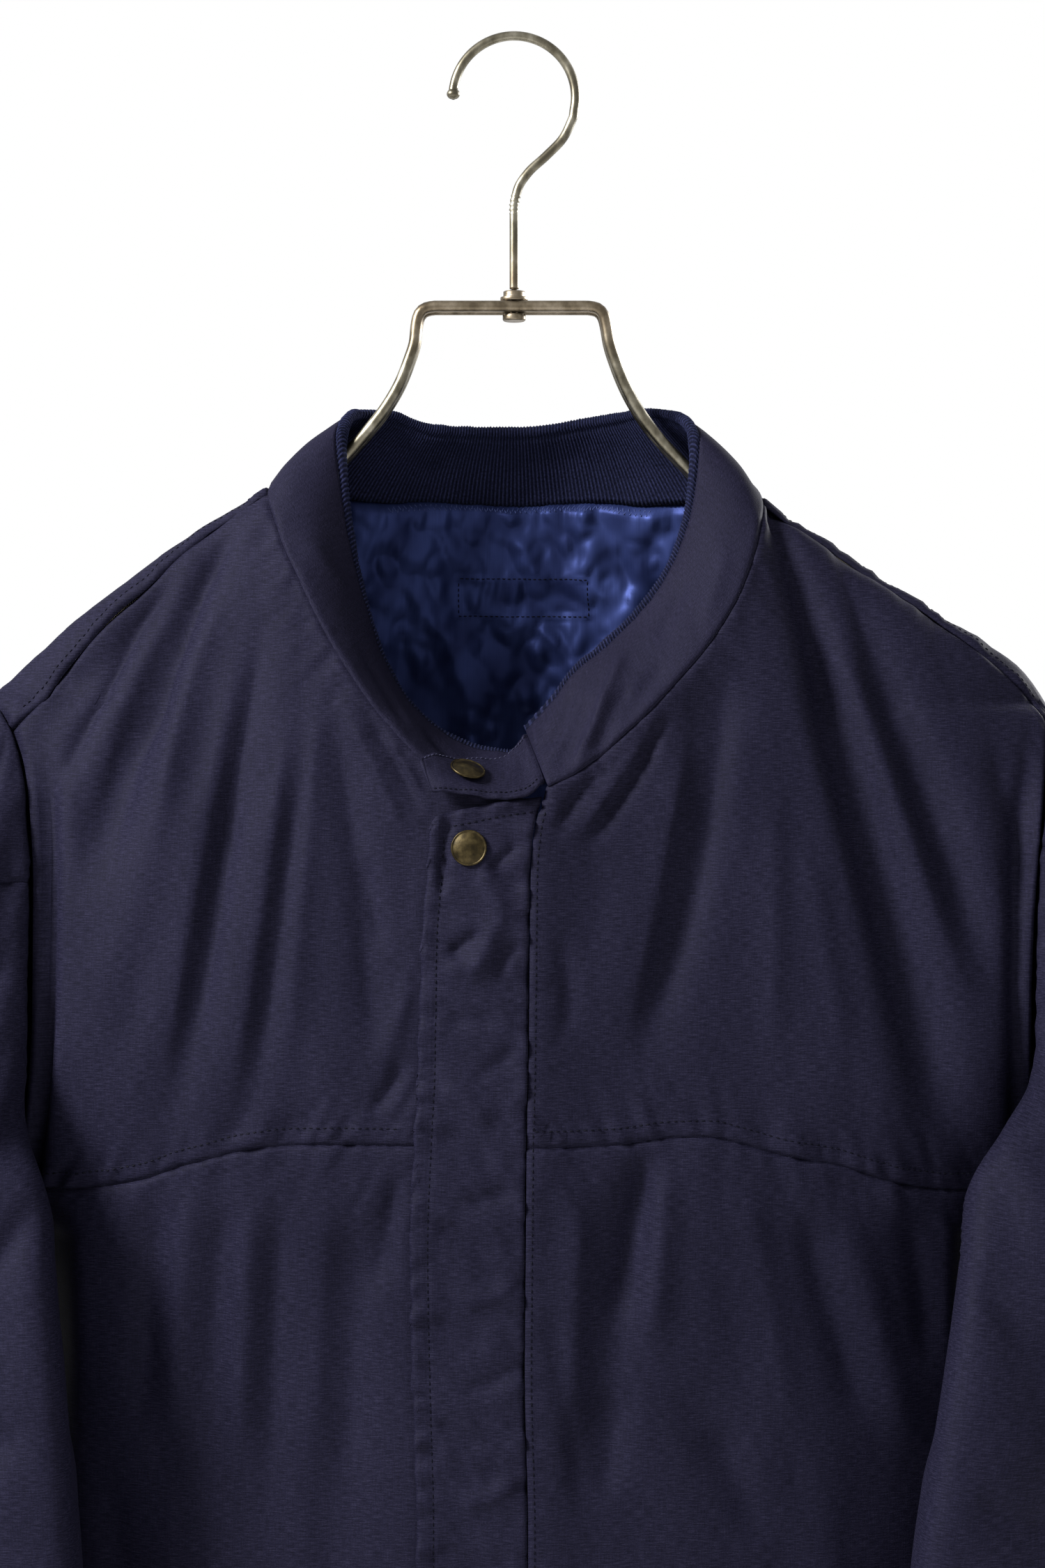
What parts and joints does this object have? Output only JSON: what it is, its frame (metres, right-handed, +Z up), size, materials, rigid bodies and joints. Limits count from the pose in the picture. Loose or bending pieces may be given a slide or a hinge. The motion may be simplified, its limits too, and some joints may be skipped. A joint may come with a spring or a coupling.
{
  "type": "bomber jacket on a hanger",
  "caption": "Hollow woven-cloth blouson with stand collar, collar tab, fly placket, rib cuffs and hem band, closed and hung on a double-wire metal hanger with a hook.",
  "frame": {"origin": "Inner top of the hanger's hook, where it rests on its peg.", "axes": "+X to the wearer's left, -Y the front, +Z up."},
  "size_m": [0.6083, 0.2008, 0.8809],
  "materials": {
    "yoke_right_cloth": "matte",
    "yoke_left_cloth": "matte",
    "front_right_cloth": "matte",
    "front_left_cloth": "matte",
    "back_cloth": "matte",
    "sleeve_cap_right_cloth": "matte",
    "sleeve_cap_left_cloth": "matte",
    "sleeve_right_cloth": "matte",
    "sleeve_left_cloth": "matte",
    "cuff_right_rib": "matte",
    "cuff_left_rib": "matte",
    "hem_band_rib": "matte",
    "collar_cloth": "matte",
    "collar_rib_rib": "matte",
    "collar_tab_cloth": "matte",
    "tab_snap_brass": "satin",
    "placket_cloth": "matte",
    "placket_snap_brass": "satin",
    "back_lining_satin": "satin",
    "hanger_frame_nickel": "satin",
    "hanger_hub_nickel": "satin",
    "hanger_hook_nickel": "satin"
  },
  "bodies": {
    "root": {"yoke_right": "yoke_right_cloth", "yoke_left": "yoke_left_cloth", "front_right": "front_right_cloth", "front_left": "front_left_cloth", "back": "back_cloth", "sleeve_cap_right": "sleeve_cap_right_cloth", "sleeve_cap_left": "sleeve_cap_left_cloth", "sleeve_right": "sleeve_right_cloth", "sleeve_left": "sleeve_left_cloth", "cuff_right": "cuff_right_rib", "cuff_left": "cuff_left_rib", "hem_band": "hem_band_rib", "collar": "collar_cloth", "collar_rib": "collar_rib_rib", "collar_tab": "collar_tab_cloth", "tab_snap": "tab_snap_brass", "placket": "placket_cloth", "placket_snap": "placket_snap_brass", "back_lining": "back_lining_satin", "hanger_frame": "hanger_frame_nickel", "hanger_hub": "hanger_hub_nickel", "hanger_hook": "hanger_hook_nickel"}
  },
  "joints": []
}
